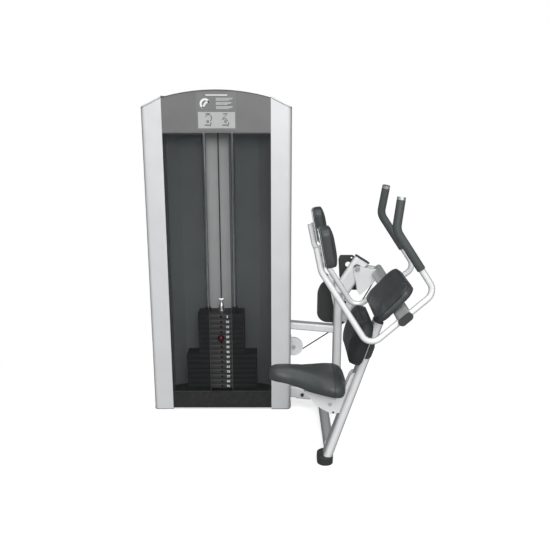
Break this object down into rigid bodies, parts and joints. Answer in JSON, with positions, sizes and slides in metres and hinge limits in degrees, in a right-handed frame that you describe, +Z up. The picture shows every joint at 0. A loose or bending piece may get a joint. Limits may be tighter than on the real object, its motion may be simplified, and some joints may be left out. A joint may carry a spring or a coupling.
{
  "type": "ab crunch machine",
  "caption": "Seated abdominal crunch machine: weight-stack tower with smoked shields and a side module with saddle seat, back pads and a pivoting grip arm.",
  "frame": {"origin": "centre of the whole machine's bounding box, on the floor", "axes": "+X from the tower towards the seat module, +Y from the open user side to the back, +Z up"},
  "size_m": [1.2428, 0.9736, 1.6],
  "materials": {
    "frame_silver": "satin metallic powder coat",
    "tower_silver": "satin metallic powder coat",
    "header_grey": "satin grey powder coat",
    "dark_cover": "fine textured moulded plastic",
    "shroud_grey": "satin grey powder coat",
    "smoked": "smoked acrylic",
    "placard": "printed plate",
    "steel_rod": "hard chrome",
    "cast_weight": "black enamel",
    "bright_steel": "zinc plated",
    "rubber_black": "moulded rubber",
    "grip_rubber": "foam rubber sleeve",
    "vinyl": "upholstery vinyl",
    "maroon": "polished phenolic",
    "pulley_plastic": "moulded nylon",
    "cable": "nylon coated wire rope",
    "board": "painted backing board",
    "bush": "sintered bush"
  },
  "bodies": {
    "frame": {"arch_trim": "dark_cover", "base_beam": "frame_silver", "column_caps": "tower_silver", "cushion_boards": "board", "drive_cable": "cable", "fixed_narrow_plates": "cast_weight", "frame_bolts": "bright_steel", "front_shields": "smoked", "guide_rods": "steel_rod", "head_tube": "frame_silver", "header_panel": "header_grey", "instruction_placard": "placard", "left_column": "tower_silver", "link_sleeve": "frame_silver", "lower_link_bar": "frame_silver", "lumbar_pad": "vinyl", "main_tube": "frame_silver", "pivot_bushes": "bush", "pulley_axles": "bright_steel", "pulley_brackets": "frame_silver", "pulley_guard": "dark_cover", "rear_post": "frame_silver", "rear_shroud": "shroud_grey", "right_column": "tower_silver", "rubber_feet": "rubber_black", "seat_bracket": "frame_silver", "seat_pad": "vinyl", "stack_bumpers": "rubber_black", "stop_bracket": "frame_silver", "stop_bumpers": "rubber_black", "top_beam": "frame_silver", "tower_base": "dark_cover", "tube_caps": "dark_cover", "upper_beam": "frame_silver", "upper_link_bar": "frame_silver", "wide_plates": "cast_weight"},
    "swing_arm": {"arm_tubes": "frame_silver", "hand_grips": "grip_rubber", "grip_end_caps": "steel_rod", "cross_beam": "frame_silver", "cross_beam_cap": "dark_cover", "clevis_plates": "frame_silver", "pivot_shaft": "bright_steel", "cam": "dark_cover", "elbow_pads": "vinyl", "arm_pad_boards": "board", "upper_back_pad": "vinyl", "cam_cable": "cable"},
    "lifted_stack": {"head_plate": "cast_weight", "lifted_plates": "cast_weight", "selector_stem": "bright_steel", "cable_connector": "steel_rod", "rod_collars": "maroon", "stack_cable": "cable"},
    "pin": {"selector_pin": "bright_steel", "pin_knob": "maroon"},
    "top_left_wheel": {"top_left_pulley": "pulley_plastic"},
    "top_right_wheel": {"top_right_pulley": "pulley_plastic"},
    "lower_wheel": {"lower_pulley": "pulley_plastic"},
    "guide_wheel": {"guide_pulley": "pulley_plastic"}
  },
  "joints": [
    {"name": "arm_swing", "type": "hinge", "parent": "frame", "child": "swing_arm", "pos_m": [0.40455, 0.31675, 0.76], "axis": [0, -1, 0], "range_deg": [0, 60]},
    {"name": "stack_lift", "type": "slide", "parent": "frame", "child": "lifted_stack", "axis": [0, 0, 1], "range_m": [0, 0.137], "deforming": ["stack_cable"]},
    {"name": "pin_pull", "type": "slide", "parent": "lifted_stack", "child": "pin", "axis": [0, -1, 0], "range_m": [0, 0.08]},
    {"name": "top_left_spin", "type": "hinge", "parent": "frame", "child": "top_left_wheel", "pos_m": [-0.22345, 0.38925, 1.48], "axis": [0, 1, 0], "range_deg": [0, 174]},
    {"name": "top_right_spin", "type": "hinge", "parent": "frame", "child": "top_right_wheel", "pos_m": [0.01755, 0.38925, 1.48], "axis": [0, 1, 0], "range_deg": [0, 174]},
    {"name": "lower_spin", "type": "hinge", "parent": "frame", "child": "lower_wheel", "pos_m": [0.09955, 0.38925, 0.321], "axis": [0, -1, 0], "range_deg": [0, 206]},
    {"name": "guide_spin", "type": "hinge", "parent": "frame", "child": "guide_wheel", "pos_m": [0.36855, 0.38925, 0.503], "axis": [0, -1, 0], "range_deg": [0, 206]}
  ],
  "couplings": [
    {"joint": "stack_lift", "follows": "arm_swing", "m_per_rad": 0.13},
    {"joint": "top_left_spin", "follows": "arm_swing", "ratio": 2.8889},
    {"joint": "top_right_spin", "follows": "arm_swing", "ratio": 2.8889},
    {"joint": "lower_spin", "follows": "arm_swing", "ratio": 3.4211},
    {"joint": "guide_spin", "follows": "arm_swing", "ratio": 3.4211}
  ]
}
